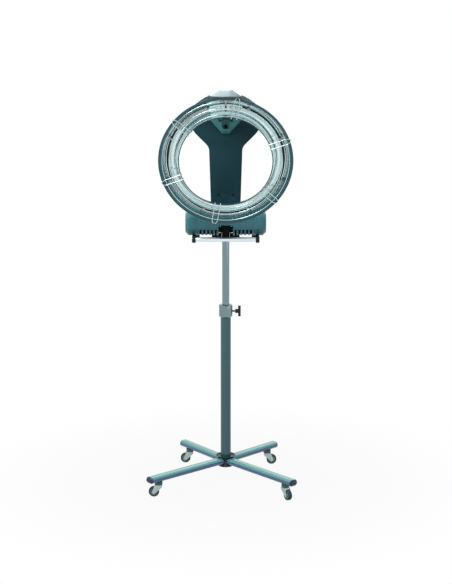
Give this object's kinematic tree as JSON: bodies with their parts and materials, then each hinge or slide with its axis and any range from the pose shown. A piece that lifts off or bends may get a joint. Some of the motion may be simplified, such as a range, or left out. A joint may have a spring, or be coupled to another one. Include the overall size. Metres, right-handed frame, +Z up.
{
  "type": "hair color processor",
  "caption": "Floor-standing salon processor: a tilted heating ring with wire guard hangs from an arched spine over a control housing, on a telescopic column with a caster base.",
  "frame": {"origin": "on the floor, under the axis of the column", "axes": "+Z up along the column; -Y towards the side where the heating ring hangs; +X to the right of a person who faces the ring"},
  "size_m": [0.5693, 0.5966, 1.5428],
  "materials": {
    "dark_casting": "satin dark blue-grey enamel",
    "leg_enamel": "satin blue-green metallic enamel",
    "column_enamel": "satin grey-green enamel",
    "black_plastic": "black moulded plastic",
    "pale_plastic": "pale grey moulded plastic",
    "natural_plastic": "natural white bearing plastic",
    "fork_steel": "zinc plated sheet steel",
    "tyre": "dark grey solid tyre",
    "chrome": "bright chrome",
    "steel": "plain machined steel",
    "brass": "turned brass",
    "black_casting": "black painted casting",
    "housing": "teal-grey moulded plastic, semi-gloss",
    "board": "green circuit board",
    "window": "smoked display glass",
    "fascia": "gloss black",
    "key": "pale grey keys",
    "spine_plate": "dark teal-grey moulded plastic, fine texture",
    "spine_shell": "pale silver-white moulded plastic",
    "keel": "teal painted pressing",
    "motor": "zinc plated motor can",
    "ring_enamel": "dark teal enamel on aluminium",
    "reflector": "bright anodised aluminium",
    "sheath": "dark oxidised steel sheath",
    "guard": "chromed wire",
    "cover": "pale heat-proof moulding"
  },
  "bodies": {
    "base": {"base_hub": "dark_casting", "leg_front_left": "leg_enamel", "leg_front_right": "leg_enamel", "leg_rear_left": "leg_enamel", "leg_rear_right": "leg_enamel", "leg_end_caps": "black_plastic", "caster_stems": "dark_casting", "column_tube": "column_enamel", "column_sleeve": "natural_plastic", "clamp_collar": "chrome"},
    "clamp_pad_body": {"clamp_pad": "brass"},
    "clamp_knob": {"clamp_screw": "chrome", "clamp_handle": "black_plastic"},
    "mast": {"mast_tube": "chrome", "mast_guide_bush": "natural_plastic"},
    "socket": {"mast_socket": "black_casting"},
    "head": {"tilt_pin": "steel", "chassis_plate": "black_casting", "spine_frame": "steel", "housing_front": "housing", "housing_rear": "housing", "end_cap_left": "housing", "end_cap_right": "housing", "handle_bar": "chrome", "handle_brackets": "black_plastic", "control_board": "board", "display_window": "window", "control_fascia": "fascia", "cable_gland": "black_plastic", "spine_plate": "spine_plate", "spine_shell": "spine_shell", "arch_keel": "keel", "gear_motor": "motor", "bearing_bush": "brass", "spine_screws": "steel"},
    "key_1_body": {"key_1": "key"},
    "key_2_body": {"key_2": "key"},
    "key_3_body": {"key_3": "key"},
    "rocker": {"rocker_switch": "black_plastic"},
    "ring": {"drive_shaft": "steel", "hanger_bracket": "steel", "ring_shell": "ring_enamel", "reflector": "reflector", "heating_element": "sheath", "element_clips": "steel", "wire_guard": "guard", "terminal_cover": "cover"},
    "fork_front_left": {"caster_fork_front_left": "fork_steel"},
    "wheel_front_left": {"caster_core_front_left": "pale_plastic", "caster_tyre_front_left": "tyre"},
    "fork_front_right": {"caster_fork_front_right": "fork_steel"},
    "wheel_front_right": {"caster_core_front_right": "pale_plastic", "caster_tyre_front_right": "tyre"},
    "fork_rear_left": {"caster_fork_rear_left": "fork_steel"},
    "wheel_rear_left": {"caster_core_rear_left": "pale_plastic", "caster_tyre_rear_left": "tyre"},
    "fork_rear_right": {"caster_fork_rear_right": "fork_steel"},
    "wheel_rear_right": {"caster_core_rear_right": "pale_plastic", "caster_tyre_rear_right": "tyre"}
  },
  "joints": [
    {"name": "mast_lift", "type": "slide", "parent": "base", "child": "mast", "axis": [0, 0, 1], "range_m": [-0.2, 0.2]},
    {"name": "clamp_press", "type": "slide", "parent": "base", "child": "clamp_pad_body", "axis": [1, 0, 0], "range_m": [0, 0.003]},
    {"name": "clamp_turn", "type": "hinge", "parent": "clamp_pad_body", "child": "clamp_knob", "pos_m": [0.03, 0, 0.672], "axis": [1, 0, 0], "range_deg": [0, 720]},
    {"name": "head_swivel", "type": "hinge", "parent": "mast", "child": "socket", "pos_m": [0, 0, 0.962], "axis": [0, 0, 1], "range_deg": [-90, 90]},
    {"name": "head_tilt", "type": "hinge", "parent": "socket", "child": "head", "pos_m": [0, 0, 1.005], "axis": [1, 0, 0], "range_deg": [-10, 30]},
    {"name": "ring_orbit", "type": "hinge", "parent": "head", "child": "ring", "pos_m": [0, -0.29483, 1.493], "axis": [0, 0, 1], "continuous": true},
    {"name": "key_1_press", "type": "slide", "parent": "head", "child": "key_1_body", "axis": [0, -1, 0], "range_m": [0, 0.0015], "stiffness_N_per_m": 600, "springref_m": -0.001},
    {"name": "key_2_press", "type": "slide", "parent": "head", "child": "key_2_body", "axis": [0, -1, 0], "range_m": [0, 0.0015], "stiffness_N_per_m": 600, "springref_m": -0.001},
    {"name": "key_3_press", "type": "slide", "parent": "head", "child": "key_3_body", "axis": [0, -1, 0], "range_m": [0, 0.0015], "stiffness_N_per_m": 600, "springref_m": -0.001},
    {"name": "rocker_tilt", "type": "hinge", "parent": "head", "child": "rocker", "pos_m": [0.055, 0.044, 1.022], "axis": [1, 0, 0], "range_deg": [-8, 8]},
    {"name": "caster_swivel_front_left", "type": "hinge", "parent": "base", "child": "fork_front_left", "pos_m": [-0.25506, -0.23454, 0.045], "axis": [0, 0, 1], "continuous": true},
    {"name": "wheel_spin_front_left", "type": "hinge", "parent": "fork_front_left", "child": "wheel_front_left", "pos_m": [-0.27306, -0.23454, 0.02], "axis": [0, -1, 0], "continuous": true},
    {"name": "caster_swivel_front_right", "type": "hinge", "parent": "base", "child": "fork_front_right", "pos_m": [0.22549, -0.26309, 0.045], "axis": [0, 0, 1], "continuous": true},
    {"name": "wheel_spin_front_right", "type": "hinge", "parent": "fork_front_right", "child": "wheel_front_right", "pos_m": [0.23449, -0.27868, 0.02], "axis": [0.866, 0.5, 0], "continuous": true},
    {"name": "caster_swivel_rear_left", "type": "hinge", "parent": "base", "child": "fork_rear_left", "pos_m": [-0.14608, 0.19669, 0.045], "axis": [0, 0, 1], "continuous": true},
    {"name": "wheel_spin_rear_left", "type": "hinge", "parent": "fork_rear_left", "child": "wheel_rear_left", "pos_m": [-0.16407, 0.19669, 0.02], "axis": [0, -1, 0], "continuous": true},
    {"name": "caster_swivel_rear_right", "type": "hinge", "parent": "base", "child": "fork_rear_right", "pos_m": [0.16834, 0.17801, 0.045], "axis": [0, 0, 1], "continuous": true},
    {"name": "wheel_spin_rear_right", "type": "hinge", "parent": "fork_rear_right", "child": "wheel_rear_right", "pos_m": [0.18634, 0.17801, 0.02], "axis": [0, 1, 0], "continuous": true}
  ],
  "couplings": [
    {"joint": "clamp_press", "follows": "clamp_turn", "m_per_rad": 0.00019894}
  ]
}
